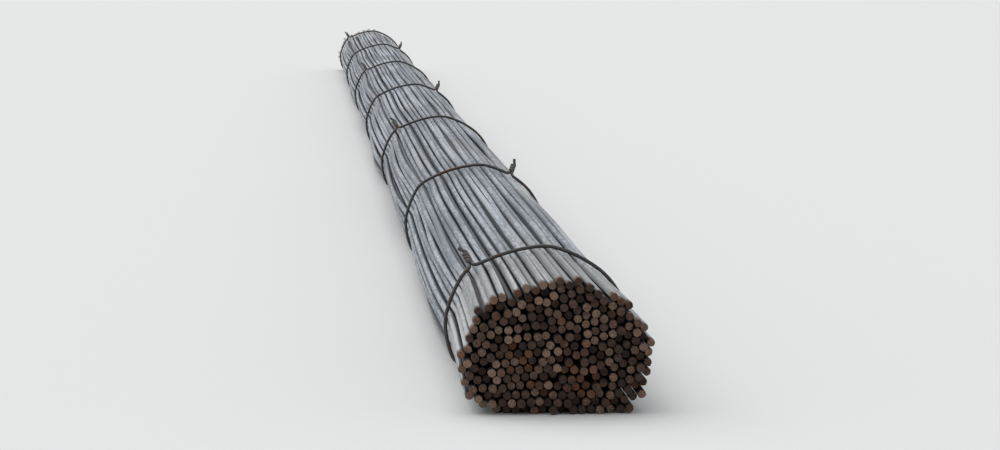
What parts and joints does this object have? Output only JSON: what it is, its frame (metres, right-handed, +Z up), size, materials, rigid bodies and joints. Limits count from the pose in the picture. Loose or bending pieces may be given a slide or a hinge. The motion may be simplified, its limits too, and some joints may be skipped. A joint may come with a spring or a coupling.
{
  "type": "rebar bundle",
  "caption": "Long bundle of straight ribbed steel reinforcing bars, domed on top and flat underneath, held by twisted wire ties.",
  "frame": {"origin": "middle of the underside of the whole bundle's box, on the floor that it lies on", "axes": "+Y along the bars, away from the end that the picture shows; +Z up; +X to the right when looking along +Y"},
  "size_m": [0.2852, 11.728, 0.2091],
  "materials": {
    "bar_steel": "dull mill scale with light rust, rusty cut ends",
    "tie_wire": "dark oxidised wire rod"
  },
  "bodies": {
    "root": {"bars_layer_01": "bar_steel", "bars_layer_02": "bar_steel", "bars_layer_03": "bar_steel", "bars_layer_04": "bar_steel", "bars_layer_05": "bar_steel", "bars_layer_06": "bar_steel", "bars_layer_07": "bar_steel", "bars_layer_08": "bar_steel", "bars_layer_09": "bar_steel", "bars_layer_10": "bar_steel", "bars_layer_11": "bar_steel", "bars_layer_12": "bar_steel", "bars_layer_13": "bar_steel", "bars_layer_14": "bar_steel", "bars_layer_15": "bar_steel", "bars_layer_16": "bar_steel", "bars_layer_17": "bar_steel", "tie_1": "tie_wire", "tie_2": "tie_wire", "tie_3": "tie_wire", "tie_4": "tie_wire", "tie_5": "tie_wire", "tie_6": "tie_wire", "tie_7": "tie_wire"}
  },
  "joints": []
}
